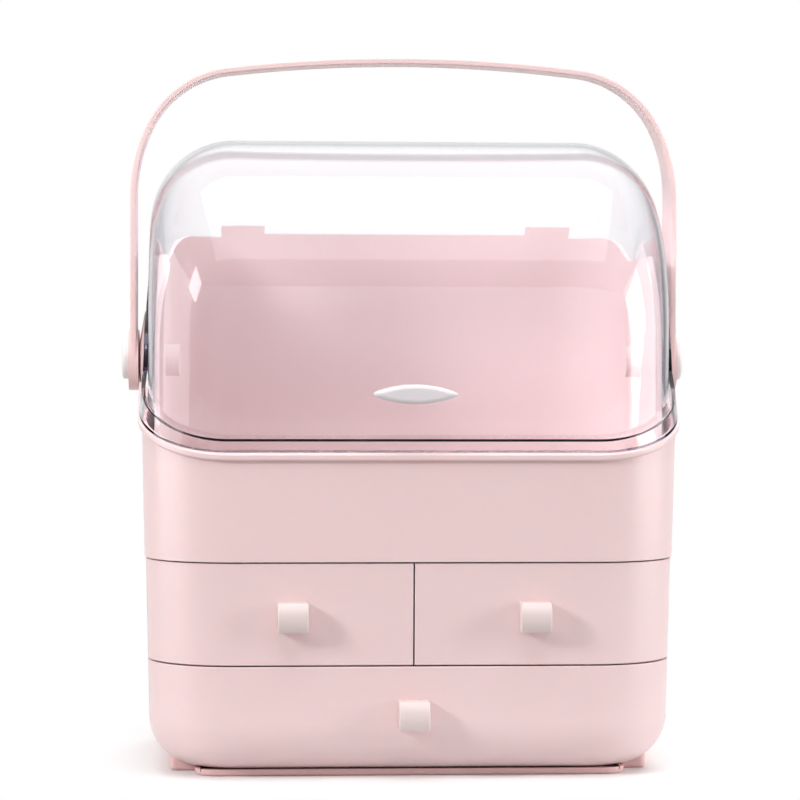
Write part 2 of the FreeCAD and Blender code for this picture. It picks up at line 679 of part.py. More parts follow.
def dome(name, inset):
    radius = f"({s('lid_radius')} - ({inset}))"
    centre = s("dome_height")
    body = new_body(name)
    side = outline(
        body,
        f"{name}_side",
        "YZ_Plane",
        [
            (f"-{radius}", LID_FOOT),
            (f"-{radius}", centre),
            (0, f"{centre} + {radius}"),
            (radius, centre),
            (radius, LID_FOOT),
        ],
        arcs={1: f"-{radius}", 2: f"-{radius}"},
    )
    block = pad(body, side, f"{s('lid_width')} - 2 * ({inset})", both_ways=True)
    half = value(s("lid_width")) / 2 - value(inset)
    foot = is_at_height(value(LID_FOOT))

    def is_side_edge(edge):
        bounds = edge.BoundBox
        on_side = bounds.XLength < 0.01 and abs(abs(bounds.XMin) - half) < 0.01
        return on_side and not foot(edge)

    round_edges(body, block, f"{s('lid_rounding')} - ({inset})", is_side_edge, f"{name}_edges")
    return body


def skirt_block(name, inset):
    """The flared skirt below the shoulder, before its upper outline is cut."""
    body = new_body(name)
    wedge = body.newObject("PartDesign::AdditiveWedge", f"{name}_wedge")
    wedge.Placement = FreeCAD.Placement(FreeCAD.Vector(), FreeCAD.Rotation(FreeCAD.Vector(1, 0, 0), 90))
    flare = s("skirt_flare")
    top = s("skirt_top")
    wide = f"({EAR_OUTER} + ({top} - {LID_FOOT}) * tan({flare}) - ({inset}))"
    narrow = f"({EAR_OUTER} - ({inset}))"
    deep = f"({s('skirt_front')} + ({s('skirt_shoulder')} - {LID_FOOT}) * tan({flare}) - ({inset}))"
    shallow = f"({s('skirt_front')} + ({s('skirt_shoulder')} - {top}) * tan({flare}) - ({inset}))"
    bind(
        wedge,
        Ymin=LID_FOOT, Ymax=top,
        Xmin=f"-{wide}", Xmax=wide, Zmin=f"-{deep}", Zmax=deep,
        X2min=f"-{narrow}", X2max=narrow, Z2min=f"-{shallow}", Z2max=shallow,
    )
    radius = f"{s('lid_rounding')} + {EAR_OUTER} - {s('lid_width')} / 2 - ({inset})"
    round_edges(body, wedge, radius, is_upright, f"{name}_corners")
    return body


def skirt_outline(name, inset):
    """Side outline of skirt and ears: a sloping shoulder that runs into a disc on the pivots."""
    body = new_body(name)
    front = f"(-{s('case_depth')} / 2 - {s('skirt_wall')})"
    drop = f"(({inset}) / cos({SHOULDER}))"
    at_front = f"({s('skirt_shoulder')} - {s('skirt_wall')} * tan({SHOULDER}) - {drop})"
    at_pivot = f"({s('skirt_shoulder')} + {s('case_depth')} / 2 * tan({SHOULDER}) - {drop})"
    corners = [(front, LID_FOOT), (0, LID_FOOT), (0, at_pivot), (front, at_front)]
    pad(body, outline(body, f"{name}_side", "YZ_Plane", corners), REACH, both_ways=True)
    disc = body.newObject("PartDesign::AdditiveCylinder", f"{name}_disc")
    disc.Placement = FreeCAD.Placement(FreeCAD.Vector(), FreeCAD.Rotation(FreeCAD.Vector(0, 1, 0), 90))
    bind(disc, Radius=f"{s('ear_radius')} - ({inset})", Height=REACH)
    place(disc, -REACH / 2, 0, PIVOT)
    pivot_z = value(PIVOT)
    radius = value(s("ear_radius")) - value(inset)

    def is_hollow_corner(edge):
        bounds = edge.BoundBox
        reach = ((bounds.YMin ** 2) + (bounds.ZMin - pivot_z) ** 2) ** 0.5
        return bounds.XLength > REACH / 2 and bounds.YMin < -radius / 2 and abs(reach - radius) < 0.01

    round_edges(body, disc, f"{s('ear_blend')} + ({inset})", is_hollow_corner, f"{name}_blend")
    return body


def ear_block(name, inset, dome_inset):
    """Both ears as one block that narrows upwards until it meets the dome's sides."""
    wedge = doc.addObject("Part::Wedge", name)
    wedge.Placement = FreeCAD.Placement(FreeCAD.Vector(), FreeCAD.Rotation(FreeCAD.Vector(1, 0, 0), 90))
    foot = f"({EAR_OUTER} - ({inset}))"
    top = f"({s('lid_width')} / 2 - ({dome_inset}))"
    reach = s("ear_radius")
    bind(
        wedge,
        Ymin=s("skirt_top"), Ymax=f"{PIVOT} + {reach}",
        Xmin=f"-{foot}", Xmax=foot, Zmin=f"-{reach}", Zmax=reach,
        X2min=f"-{top}", X2max=top, Z2min=f"-{reach}", Z2max=reach,
    )
    return wedge


def lid_form(name, inset, skirt_inset):
    ears = ear_block(f"{name}_ears", skirt_inset, inset)
    sides = fuse(f"{name}_sides", skirt_block(f"{name}_skirt", skirt_inset), ears)
    skirt = common(f"{name}_lower", sides, skirt_outline(f"{name}_outline", skirt_inset))
    return fuse(name, dome(f"{name}_dome", inset), skirt)


lid_outer = lid_form("lid_outer", "0", "0")
lid_inner = lid_form("lid_inner", s("lid_wall"), s("skirt_wall"))
below_front_edge = half_space("below_front_edge", RIM_SLOPE, LID_DROP)
below_back_edge = half_space("below_back_edge", f"({s('lid_opening')} - {RIM_SLOPE})", LID_DROP)
LOBE_INNER = f"({EAR_OUTER} - {s('skirt_wall')})"
lobe_pockets = rod("lobe_pockets", s("lobe_radius"), f"-{LOBE_INNER}", LOBE_INNER)
lid_shell = cut("lid_shell", lid_outer, lid_inner, below_front_edge, below_back_edge, lobe_pockets)
lobes = both_rods("lobes", s("lobe_radius"), LOBE_INNER, EAR_OUTER)
lid_bores = rod("lid_bores", f"{s('spigot_radius')} + {s('running_fit')}", -REACH / 2, REACH / 2)
hub_seats = both_rods("hub_seats", f"{s('hub_radius')} + {s('hub_notch')}", EAR_OUTER, REACH / 2)
keep("clear_lid", cut("clear_lid", fuse("lobed_lid", lid_shell, lobes), lid_bores, hub_seats))


# ---------------------------------------------------------------- pull tab

half_tab = f"({s('tab_length')} / 2)"
tab_bow = f"(({half_tab} ^ 2 + ({s('tab_height')} / 2) ^ 2) / {s('tab_height')})"
tab_body = new_body("tab_body")
tab_side = outline(
    tab_body,
    "tab_side",
    "XZ_Plane",
    [(f"-{half_tab}", s("tab_centre")), (half_tab, s("tab_centre"))],
    arcs={0: tab_bow, 1: tab_bow},
    offset=s("lid_radius"),
)
tab_block = pad(tab_body, tab_side, s("tab_reach"))


def runs_along_y(edge):
    dx, dy, dz = spans(edge)
    return dy > 1 and dx < 0.01 and dz < 0.01


tab_ends = round_edges(tab_body, tab_block, f"{s('tab_rounding')} / 2", runs_along_y, "tab_ends")
tab_face = -value(s("lid_radius")) - value(s("tab_reach"))


def is_tab_front(edge):
    bounds = edge.BoundBox
    return abs(bounds.YMin - tab_face) < 0.01 and abs(bounds.YMax - tab_face) < 0.01


round_edges(tab_body, tab_ends, s("tab_rounding"), is_tab_front, "tab_front")
keep("lid_pull_tab", tab_body)


# ---------------------------------------------------------------- pivots

for word, side in SIDES:
    hub = new_body(f"hub_{word}")
    profile = outline(
        hub,
        f"hub_{word}_profile",
        "XY_Plane",
        [
            (SPIGOT_END, s("screw_radius")),
            (STUB_END, s("screw_radius")),
            (STUB_END, s("stub_radius")),
            (HUB_TIP_X, s("stub_radius")),
            (HUB_TIP_X, s("hub_tip")),
            (HUB_BASE, s("hub_radius")),
            (HUB_BASE, s("spigot_radius")),
            (SPIGOT_END, s("spigot_radius")),
        ],
    )
    turned = hub.newObject("PartDesign::Revolution", f"hub_{word}_turned")
    turned.Profile = profile
    turned.ReferenceAxis = (profile, ["H_Axis"])
    turned.Angle = 360
    hub.Placement = FreeCAD.Placement(
        FreeCAD.Vector(), FreeCAD.Rotation(FreeCAD.Vector(0, 0, 1), 0 if side > 0 else 180)
    )
    place(hub, 0, 0, PIVOT)
    keep(f"pivot_hub_{word}", hub)

    shank = side_rod(f"pivot_shank_{word}", side, s("screw_radius"), SCREW_END, WASHER_END)
    head = side_rod(f"pivot_head_{word}", side, s("screw_head"), WASHER_END, HEAD_END)
    keep(f"pivot_screw_{word}", fuse(f"pivot_screw_{word}", shank, head))

    disc = side_rod(f"washer_disc_{word}", side, s("washer_radius"), STUB_END, WASHER_END)
    keep(f"pivot_washer_{word}", cut(f"pivot_washer_{word}", disc, shank))

    cap_end = f"({STUB_END} + {s('cap_height')})"
    cap_block = side_rod(f"cap_block_{word}", side, s("cap_radius"), STUB_END, cap_end)
    outer_face = side * value(cap_end)
    cap_round = soften(
        f"cap_round_{word}", cap_block, s("cap_rounding"),
        lambda edge: abs(edge.BoundBox.XMin - outer_face) < 0.01 and abs(edge.BoundBox.XMax - outer_face) < 0.01,
    )
    keep(f"pivot_cap_{word}", cut(f"pivot_cap_{word}", cap_round, disc, head))


# ---------------------------------------------------------------- handle

HALF_HANDLE = f"({s('handle_width')} / 2)"
CROWN = s("crown_radius")
A1 = s("crown_angle")
A2 = s("shoulder_angle")
ARM = s("arm_radius")
BEND = (
    f"(({HALF_HANDLE} - {CROWN} * sin({A1}) - {ARM} * (1 - sin({A2})))"
    f" / (sin({A2}) - sin({A1})))"
)


def arch_points(inset):
    """Ends of the arcs on the right half, from the arm up to the crown."""
    bend_x = f"(({CROWN} - {BEND}) * sin({A1}))"
    bend_z = f"({s('handle_top')} - {CROWN} + ({CROWN} - {BEND}) * cos({A1}))"
    arm_z = f"({bend_z} + ({BEND} - {ARM}) * cos({A2}))"
    return [
        (f"({HALF_HANDLE} - ({inset}))", arm_z),
        (f"({bend_x} + ({BEND} - ({inset})) * sin({A2}))", f"({bend_z} + ({BEND} - ({inset})) * cos({A2}))"),
        (
            f"(({CROWN} - ({inset})) * sin({A1}))",
            f"({s('handle_top')} - {CROWN} + ({CROWN} - ({inset})) * cos({A1}))",
        ),
    ]


def mirrored(points):
    return [(f"-{x}", z) for x, z in reversed(points)]


def arch_run(inset):
    right = [(f"({HALF_HANDLE} - ({inset}))", PIVOT)] + arch_points(inset)
    return right + mirrored(right)


STRAP = s("strap")
handle_radii = [ARM, BEND, CROWN, BEND, ARM]
outer_run = arch_run("0")
inner_run = list(reversed(arch_run(STRAP)))
handle_arcs = {1 + n: radius for n, radius in enumerate(handle_radii)}
handle_arcs.update({9 + n: f"-({radius} - {STRAP})" for n, radius in enumerate(handle_radii)})
arch_body = new_body("arch_body")
arch_front = outline(arch_body, "arch_front", "XZ_Plane", outer_run + inner_run, handle_arcs)
pad(arch_body, arch_front, s("arm_width"), both_ways=True)

half_arm = f"({s('arm_width')} / 2)"
half_grip = f"({s('grip_width')} / 2)"
taper_from = s("taper_start")
taper_middle = f"({s('taper_start')} + {s('taper_length')} / 2)"
taper_to = f"({s('taper_start')} + {s('taper_length')})"
taper_step = f"(({half_arm} - {half_grip}) / 2)"
taper_bow = f"(({taper_step} ^ 2 + ({s('taper_length')} / 2) ^ 2) / (2 * {taper_step}))"
half_middle = f"({half_grip} + {taper_step})"
strap_top = f"({s('handle_top')} + {STRAP})"
strap_right = [
    (half_arm, PIVOT),
    (half_arm, taper_from),
    (half_middle, taper_middle),
    (half_grip, taper_to),
    (half_grip, strap_top),
]
strap_side = prism(
    "strap_side",
    strap_right + mirrored(strap_right),
    arcs={1: taper_bow, 2: f"-{taper_bow}", 6: f"-{taper_bow}", 7: taper_bow},
)
strap_block = common("strap_block", arch_body, strap_side)
pivot_level = is_at_height(value(PIVOT))
strap_rounded = soften("strap_rounded", strap_block, s("strap_rounding"), lambda edge: not pivot_level(edge))
eyes = both_rods("eyes", s("eye_radius"), EYE_INNER, EYE_OUTER)
handle_bores = rod("handle_bores", f"{s('stub_radius')} + {s('running_fit')}", -REACH / 2, REACH / 2)
keep("handle", cut("handle", fuse("handle_blank", strap_rounded, eyes), handle_bores))


# ---------------------------------------------------------------- drawers

lower_void = drafted_block(
    "lower_void", DRAWER_INSET, f"{LOWER_FLOOR} + {s('slide_gap')}", f"{s('lower_seam')} + 1",
    TUB_UNDERSIDE,
)
upper_void = drafted_block("upper_void", DRAWER_INSET, s("lower_seam"), f"{s('upper_seam')} + 1")
half_gap = f"({s('seam_gap')} / 2)"
LOWER_FRONT = (f"{CASE_BOTTOM} + {half_gap}", f"{s('lower_seam')} - {half_gap}")
UPPER_FRONT = (f"{s('lower_seam')} + {half_gap}", f"{s('upper_seam')} - {s('seam_gap')}")
TUB_EDGE = f"({half_shelf} + {s('drawer_side_gap')})"
UPPER_KNOB = s("upper_knob")
LOWER_KNOB = s("lower_knob")
half_spacing = f"({s('knob_spacing')} / 2)"
FAR = REACH / 2

DRAWERS = [
    # name, X range of the front, X range of the tub, front heights, bay, knob place, void, underside
    ("left", (-FAR, f"-{half_gap}"), (-FAR, f"-{TUB_EDGE}"), UPPER_FRONT,
     (UPPER_FLOOR, UPPER_CEILING), (f"-{half_spacing}", UPPER_KNOB), upper_void, None),
    ("right", (half_gap, FAR), (TUB_EDGE, FAR), UPPER_FRONT,
     (UPPER_FLOOR, UPPER_CEILING), (half_spacing, UPPER_KNOB), upper_void, None),
    ("lower", (-FAR, FAR), (-FAR, FAR), LOWER_FRONT,
     (LOWER_FLOOR, LOWER_CEILING), ("0", LOWER_KNOB), lower_void, TUB_UNDERSIDE),
]


def drawer_front(word, across, heights, knob, void, underside):
    region = box(f"front_region_{word}", across[0], across[1], -REACH / 2, FRONTS_BACK, heights[0], heights[1])
    shell = cut(f"front_shell_{word}", common(f"front_block_{word}", case_block, region), void)
    inside = void.Shape
    on_seam = is_at_height(value(heights[1]))

    def is_outer(edge):
        return edge.distToShape(inside)[0] > 0.1 and (on_seam(edge) or not underside)

    eased = soften(f"front_eased_{word}", shell, s("front_rounding"), is_outer)
    hole = pin(f"front_hole_{word}", s("knob_stem"), knob[0], knob[1], -REACH / 2, 0)
    keep(f"drawer_front_{word}", cut(f"drawer_front_{word}", eased, hole))


def shrunk(across, amount):
    """The X range of a tub's cavity: moved in from the divider where the tub has a wall there."""
    low, high = across
    return (
        low if low == -FAR else f"{low} + {amount}",
        high if high == FAR else f"{high} - {amount}",
    )


def drawer_tub(word, across, bay, knob, underside):
    floor, ceiling = bay
    bottom = f"({floor} + {s('slide_gap')})"
    rim = f"({ceiling} - {s('tub_headroom')})"
    tab_top = f"({ceiling} - 2 * {s('slide_gap')})"
    wall = s("tub_wall")
    rib_back = f"({CASE_FRONT} + {s('stop_thickness')})"
    stop_face = f"({rib_back} + {s('drawer_travel')} + {s('slide_gap')})"
    stop_back = f"({stop_face} + {s('stop_thickness')})"
    block = drafted_block(f"tub_block_{word}", DRAWER_INSET, bottom, tab_top, underside)
    outer = common(f"tub_outer_{word}", block, box(f"tub_region_{word}", *across, -FAR, FAR, 0, REACH))
    inset = f"({DRAWER_INSET} + {wall})"
    inner_underside = underside and f"({underside} - {wall})"
    core = drafted_block(f"tub_core_{word}", inset, f"({bottom} + {wall})", ceiling, inner_underside)
    narrow = shrunk(across, wall)
    cavity = common(f"tub_cavity_{word}", core, box(f"tub_inside_{word}", *narrow, -FAR, FAR, 0, REACH))
    trims = fuse(
        f"tub_trims_{word}",
        box(f"tub_trim_front_{word}", -FAR, FAR, -FAR, stop_face, rim, ceiling),
        box(f"tub_trim_back_{word}", -FAR, FAR, stop_back, FAR, rim, ceiling),
    )
    hole = pin(f"tub_hole_{word}", s("screw_radius"), knob[0], knob[1], -FAR, 0)
    keep(f"drawer_tub_{word}", cut(f"drawer_tub_{word}", outer, cavity, trims, hole))


def drawer_knob(word, knob):
    x, z = knob
    half_x = f"({s('knob_width')} / 2)"
    half_z = f"({s('knob_height')} / 2)"
    crown = s("knob_crown")
    face = f"(-{half_depth(f'{z} + {half_z}', s('tray_overhang'))})"
    edge_y = f"({face} - {s('knob_reach')} + {crown} - sqrt({crown} ^ 2 - {half_z} ^ 2))"
    body = new_body(f"knob_body_{word}")
    side = outline(
        body,
        f"knob_side_{word}",
        "YZ_Plane",
        [
            (face, f"{z} + {half_z}"),
            (edge_y, f"{z} + {half_z}"),
            (edge_y, f"{z} - {half_z}"),
            (face, f"{z} - {half_z}"),
        ],
        arcs={1: crown},
        offset=x,
    )
    block = pad(body, side, f"2 * {half_x}", both_ways=True)
    back = value(face)
    round_edges(
        body, block, s("knob_rounding"),
        lambda edge: edge.BoundBox.YMax < back - 0.01 or edge.BoundBox.YLength > 1,
        f"knob_edges_{word}",
    )
    stem_end = f"(-{half_depth(f'{z} + {s("knob_stem")}', DRAWER_INSET)})"
    screw_tip = f"({face} - {s('knob_reach')} / 2)"
    stem = pin(f"knob_stem_{word}", s("knob_stem"), x, z, f"{face} - {s('knob_stem')}", stem_end)
    seat = f"(-{half_depth(f'{z} - {s("screw_head")}', f'{DRAWER_INSET} + {s("tub_wall")}')})"
    shank = pin(f"knob_shank_{word}", s("screw_radius"), x, z, screw_tip, seat)
    head = pin(f"knob_head_{word}", s("screw_head"), x, z, seat, f"{seat} + {s('screw_head_height')}")
    keep(f"drawer_knob_{word}", cut(f"drawer_knob_{word}", fuse(f"knob_blank_{word}", body, stem), shank))
    keep(f"knob_screw_{word}", fuse(f"knob_screw_{word}", shank, head))


for word, front_x, tub_x, heights, bay, knob, void, underside in DRAWERS:
    drawer_front(word, front_x, heights, knob, void, underside)
    drawer_tub(word, tub_x, bay, knob, underside)
    drawer_knob(word, knob)


# ---------------------------------------------------------------- check and export

doc.recompute()
for obj in doc.Objects:
    if "Invalid" in obj.State or "Error" in obj.State:
        raise RuntimeError(f"{obj.Name} failed: {obj.State}")
for name, obj in nodes.items():
    if obj.Shape.isNull() or not obj.Shape.isValid() or not obj.Shape.Solids:
        raise RuntimeError(f"{name} has no valid solid")

os.makedirs("parts", exist_ok=True)
for name, obj in nodes.items():
    obj.Shape.exportStep(f"parts/{name}.step")
    print(f"{name}: {len(obj.Shape.Solids)} solid(s), {obj.Shape.Volume / 1000:.2f} cm3")
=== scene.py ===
import json
from math import cos, radians, sin

import bpy
from mathutils import Matrix, Vector

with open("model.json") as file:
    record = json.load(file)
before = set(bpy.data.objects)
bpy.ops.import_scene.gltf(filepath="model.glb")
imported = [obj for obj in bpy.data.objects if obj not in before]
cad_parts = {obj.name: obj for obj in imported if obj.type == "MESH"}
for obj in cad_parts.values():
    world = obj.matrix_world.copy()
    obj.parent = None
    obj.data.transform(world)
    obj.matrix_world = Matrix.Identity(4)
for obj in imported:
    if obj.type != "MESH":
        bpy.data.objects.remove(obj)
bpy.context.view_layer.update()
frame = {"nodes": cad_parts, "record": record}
scene = bpy.context.scene
nodes = frame["nodes"]


# ---------------------------------------------------------------- helpers

def linear(code):
    """An sRGB hex colour as linear RGBA."""
    values = [int(code[i:i + 2], 16) / 255 for i in (1, 3, 5)]
    return [v / 12.92 if v <= 0.04045 else ((v + 0.055) / 1.055) ** 2.4 for v in values] + [1.0]


def new_material(name):
    material = bpy.data.materials.new(name)
    material.use_nodes = True
    tree = material.node_tree
    return material, tree, tree.nodes["Principled BSDF"]


def add(tree, kind, settings=None, **inputs):
    """A node with its settings and its unlinked inputs."""
    node = tree.nodes.new(kind)
    for key, setting in (settings or {}).items():
        setattr(node, key, setting)
    for key, number in inputs.items():
        node.inputs[key.replace("_", " ")].default_value = number
    return node


def join(tree, source, target):
    tree.links.new(source, target)


def ramp(tree, source, stops):
    """The colour of a ramp over a value, with (position, grey or RGBA) stops."""
    node = tree.nodes.new("ShaderNodeValToRGB")
    band = node.color_ramp
    while len(band.elements) < len(stops):
        band.elements.new(0.5)
    for element, (position, colour) in zip(band.elements, stops):
        element.position = position
        element.color = colour if hasattr(colour, "__len__") else (colour, colour, colour, 1)
    join(tree, source, node.inputs["Fac"])
    return node.outputs["Color"]


def noise(tree, scale, detail, stretch=(1, 1, 1)):
    """Noise in the object's own space, in metres, so that its scale is in cells per metre."""
    place = tree.nodes.new("ShaderNodeTexCoord")
    mapping = add(tree, "ShaderNodeMapping", Scale=stretch)
    join(tree, place.outputs["Object"], mapping.inputs["Vector"])
    cells = add(tree, "ShaderNodeTexNoise", Scale=scale, Detail=detail, Roughness=0.5)
    join(tree, mapping.outputs["Vector"], cells.inputs["Vector"])
    return cells.outputs["Fac"]


def relief(tree, shader, height, strength, depth):
    """A bump on a shader, with its depth in metres."""
    bump = add(tree, "ShaderNodeBump", Strength=strength, Distance=depth)
    join(tree, height, bump.inputs["Height"])
    join(tree, bump.outputs["Normal"], shader.inputs["Normal"])


def calculate(tree, operation, first, second, clamp=False):
    """A maths node over two outputs."""
    node = add(tree, "ShaderNodeMath", {"operation": operation, "use_clamp": clamp})
    join(tree, first, node.inputs[0])
    join(tree, second, node.inputs[1])
    return node.outputs[0]


def on_vector(tree, operation, vector, constant=(0, 0, 0)):
    """A vector maths node over an output and, where it takes one, a constant."""
    node = add(tree, "ShaderNodeVectorMath", {"operation": operation})
    node.inputs[1].default_value = constant
    join(tree, vector, node.inputs[0])
    return node.outputs["Value" if operation == "LENGTH" else "Vector"]


def blend(tree, share, first, second):
    """Two shaders mixed by an output."""
    node = tree.nodes.new("ShaderNodeMixShader")
    join(tree, share, node.inputs["Fac"])
    join(tree, first, node.inputs[1])
    join(tree, second, node.inputs[2])
    return node.outputs["Shader"]


def looked_at(tree):
    """1 for what is seen directly, mirrored or through the lid, 0 for light on a surface."""
    path = tree.nodes.new("ShaderNodeLightPath")
    direct = path.outputs["Is Camera Ray"]
    mirrored = calculate(tree, "MAXIMUM", direct, path.outputs["Is Glossy Ray"])
    seen = calculate(tree, "MAXIMUM", mirrored, path.outputs["Is Transmission Ray"])
    # After a diffuse bounce a ray carries light, also where it then goes through the lid.
    lighting = add(tree, "ShaderNodeClamp")
    join(tree, path.outputs["Diffuse Depth"], lighting.inputs["Value"])
    return calculate(tree, "SUBTRACT", seen, lighting.outputs[0], clamp=True)


# ---------------------------------------------------------------- moulded plastics

ABS_IOR = 1.53
CLOUD_CELLS = 6
CLOUD_STRETCH = (1, 1, 0.5)
GLOSS_CELLS = 25
GLOSSIEST = 0.92  # share of the roughness
DULLEST = 1.08
FINE_PEEL = 450  # cells per metre
COARSE_PEEL = 60
PEEL_DEPTH = 0.00001
GLOW_DEPTHS = (0.004, 0.002, 0.0016)  # of red, green and blue light, in metres
GLOW_SCALE = 0.6


def moulded(name, colour, shade, roughness, peel, glow=0, peel_cells=FINE_PEEL, specular=0.5):
    """Moulded plastic: faint flow clouds in the colour, uneven gloss and a fine orange peel."""
    material, tree, shader = new_material(name)
    clouds = noise(tree, CLOUD_CELLS, 2, CLOUD_STRETCH)
    tones = [(0.25, linear(shade)), (0.75, linear(colour))]
    join(tree, ramp(tree, clouds, tones), shader.inputs["Base Color"])
    glosses = [(0.2, roughness * GLOSSIEST), (0.8, roughness * DULLEST)]
    uneven = ramp(tree, noise(tree, GLOSS_CELLS, 2), glosses)
    join(tree, uneven, shader.inputs["Roughness"])
    relief(tree, shader, noise(tree, peel_cells, 1), peel, PEEL_DEPTH)
    shader.inputs["IOR"].default_value = ABS_IOR
    shader.inputs["Specular IOR Level"].default_value = specular
    if glow:
        shader.inputs["Subsurface Weight"].default_value = glow
        shader.inputs["Subsurface Radius"].default_value = GLOW_DEPTHS
        shader.inputs["Subsurface Scale"].default_value = GLOW_SCALE
    return material


# The denoiser leaves patches where a roughness crosses about 0.274. The pink's stays above.
pink = moulded("pink_abs", "#f0d6d6", "#eed2d2", 0.31, 0.3, glow=0.25, specular=0.75)
# The foot plate is a deeper pink than the case. This is partly the plate's own pinker colour and
# partly painted shade, standing in for the shade under the case.
foot_pink_painted_shade = moulded("foot_abs_painted_shade", "#ecc4c2", "#e9c0be", 0.34, 0.3)
strap_pink = moulded("strap_abs", "#f0d4d3", "#eed1cf", 0.32, 0.5, peel_cells=COARSE_PEEL)
liner_pink = moulded("liner_abs", "#f2dfde", "#efdad9", 0.34, 0.3)
tub_pink = moulded("tub_abs", "#f0d9d8", "#ecd4d2", 0.42, 0.5)
knob_plastic = moulded("knob_abs", "#e9d9d6", "#e6d5d2", 0.24, 0.2)
cap_plastic = moulded("cap_abs", "#f0eceb", "#ebe6e6", 0.3, 0.2)
tab_plastic = moulded("tab_plastic", "#e9e3e6", "#dfd8dc", 0.16, 0.15)


# ---------------------------------------------------------------- clear styrene

WHITE = (1, 1, 1, 1)
STYRENE_IOR = 1.5
STYRENE_TINT = (0.60, 0.59, 0.68, 1)
STYRENE_DENSITY = 65
STYRENE_GLOSS_CELLS = 35
STYRENE_GLOSS = [(0.3, 0.02), (0.7, 0.04)]
RIPPLE_CELLS = 45
RIPPLE_STRENGTH = 0.03
RIPPLE_DEPTH = 0.0004
LAMPLIGHT_PASSED = (0.92, 0.91, 0.92, 1)

clear, tree, shader = new_material("clear_styrene")
shader.inputs["Base Color"].default_value = WHITE
shader.inputs["Transmission Weight"].default_value = 1
shader.inputs["IOR"].default_value = STYRENE_IOR
uneven = ramp(tree, noise(tree, STYRENE_GLOSS_CELLS, 3), STYRENE_GLOSS)
join(tree, uneven, shader.inputs["Roughness"])
relief(tree, shader, noise(tree, RIPPLE_CELLS, 1), RIPPLE_STRENGTH, RIPPLE_DEPTH)
tint = add(tree, "ShaderNodeVolumeAbsorption", Color=STYRENE_TINT, Density=STYRENE_DENSITY)
join(tree, tint.outputs["Volume"], tree.nodes["Material Output"].inputs["Volume"])
# The lamps' light goes straight through the lid, which would otherwise stop it.
path = tree.nodes.new("ShaderNodeLightPath")
let_through = add(tree, "ShaderNodeBsdfTransparent", Color=LAMPLIGHT_PASSED)
lamps_pass = blend(
    tree, path.outputs["Is Shadow Ray"], shader.outputs["BSDF"], let_through.outputs["BSDF"])
join(tree, lamps_pass, tree.nodes["Material Output"].inputs["Surface"])


# ---------------------------------------------------------------- zinc-plated steel

SPANGLE_CELLS = 400
SPANGLE_TONES = [(0.3, linear("#a9a9ab")), (0.7, linear("#bcbcbe"))]
TURNING_CELLS = 900
TURNING_STRETCH = (1, 0.1, 0.1)
TURNING_GLOSS = [(0.3, 0.25), (0.7, 0.4)]

steel, tree, shader = new_material("zinc_steel")
shader.inputs["Metallic"].default_value = 1
spangle = ramp(tree, noise(tree, SPANGLE_CELLS, 3), SPANGLE_TONES)
join(tree, spangle, shader.inputs["Base Color"])
turned = ramp(tree, noise(tree, TURNING_CELLS, 4, TURNING_STRETCH), TURNING_GLOSS)
join(tree, turned, shader.inputs["Roughness"])


# ---------------------------------------------------------------- materials on the pieces

FINISHES = {
    "pink_plastic": pink,
    "tub_plastic": tub_pink,
    "clear_plastic": clear,
    "tab_plastic": tab_plastic,
    "cap_plastic": cap_plastic,
    "knob_plastic": knob_plastic,
    "steel": steel,
}
OWN_FINISHES = {"handle": strap_pink, "rear_shell": liner_pink, "base_plate": foot_pink_painted_shade}
for part in frame["record"]["subparts"]:
    finish = OWN_FINISHES.get(part["node"], FINISHES[part["material_slot"]])
    for slot in nodes[part["node"]].material_slots:
        slot.material = finish


# ---------------------------------------------------------------- floor

FLOOR_SIZE = 12
FLOOR_CELLS = 8
FLOOR_GREY = (0.93, 0.93, 0.93, 1)
FLOOR_ROUGHNESS = 0.6
FOOTPRINT = (0.13, 0.1, 0)  # about half the foot's sizes
SHADOW_FADE = [(0.005, 0.0), (0.06, 1.0)]  # by the distance from the footprint
THROWN_BACK = [(0.02, 0.72), (0.15, 0.36)]

# The floor is seen white, with the object's shadow near it. The light that it throws back
# on the object is that of a grey floor, darker away from the object.
bpy.ops.mesh.primitive_grid_add(
    x_subdivisions=FLOOR_CELLS, y_subdivisions=FLOOR_CELLS, size=FLOOR_SIZE)
floor = bpy.context.object
floor.name = "floor"
paint, tree, shader = new_material("floor_paint")
shader.inputs["Base Color"].default_value = FLOOR_GREY
shader.inputs["Roughness"].default_value = FLOOR_ROUGHNESS
place = tree.nodes.new("ShaderNodeTexCoord")
quarter = on_vector(tree, "ABSOLUTE", place.outputs["Object"])
beyond = on_vector(tree, "MAXIMUM", on_vector(tree, "SUBTRACT", quarter, FOOTPRINT))
distance = on_vector(tree, "LENGTH", beyond)
glow = add(tree, "ShaderNodeEmission", Color=WHITE, Strength=1.0)
fade = ramp(tree, distance, SHADOW_FADE)
white = blend(tree, fade, shader.outputs["BSDF"], glow.outputs["Emission"])
bounce = tree.nodes.new("ShaderNodeBsdfDiffuse")
join(tree, ramp(tree, distance, THROWN_BACK), bounce.inputs["Color"])
shown = blend(tree, looked_at(tree), bounce.outputs["BSDF"], white)
join(tree, shown, tree.nodes["Material Output"].inputs["Surface"])
floor.data.materials.append(paint)


# ---------------------------------------------------------------- world

AMBIENT = 0.29
AMBIENT_COLOUR = (1, 0.96, 0.96, 1)
ROOM_STRENGTH = 2.0
ROOM_SIDES = [(0.72, linear("#4c454b")), (0.95, 0.5)]
ROOM_CEILING = [(0.15, 0.0), (0.8, 1.0)]

world = bpy.data.worlds.new("studio")
scene.world = world
world.use_nodes = True
tree = world.node_tree
tree.nodes.clear()
output = tree.nodes.new("ShaderNodeOutputWorld")
ambient = add(tree, "ShaderNodeBackground", Color=AMBIENT_COLOUR, Strength=AMBIENT)
place = tree.nodes.new("ShaderNodeTexCoord")
way = tree.nodes.new("ShaderNodeSeparateXYZ")
join(tree, place.outputs["Generated"], way.inputs["Vector"])
